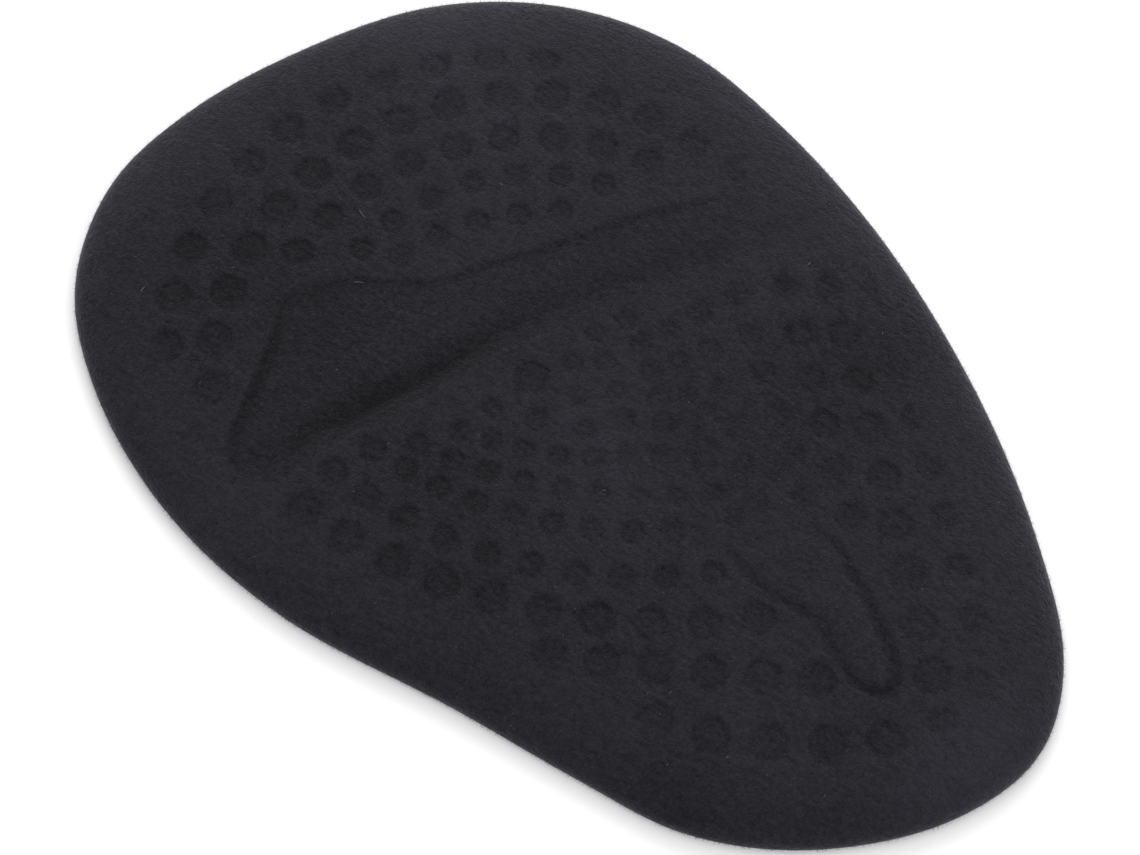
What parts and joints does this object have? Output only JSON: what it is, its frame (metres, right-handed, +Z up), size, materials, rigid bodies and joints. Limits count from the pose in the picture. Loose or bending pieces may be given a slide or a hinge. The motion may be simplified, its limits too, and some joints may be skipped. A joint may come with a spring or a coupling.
{
  "type": "gel forefoot pad with an embossed suede cover",
  "caption": "Low domed gel pad for the ball of the foot, with a soft suede cover pressed with round dots, a wide curved channel and a narrow tongue-shaped groove.",
  "frame": {"origin": "on the surface that the pad lies on, under the middle of its outline", "axes": "+X along the pad towards the broad toe end, +Y towards the hollowed inner side of the foot, +Z up out of the dotted face"},
  "size_m": [0.11, 0.0732, 0.0046],
  "materials": {
    "suede": "black suede-like microfibre with a short soft nap, matt, with a faint sheen where it turns away",
    "gel": "dark smoky soft gel, smooth and slightly tacky, with a low gloss"
  },
  "bodies": {
    "root": {"suede_cover": "suede", "gel_body": "gel"}
  },
  "joints": []
}
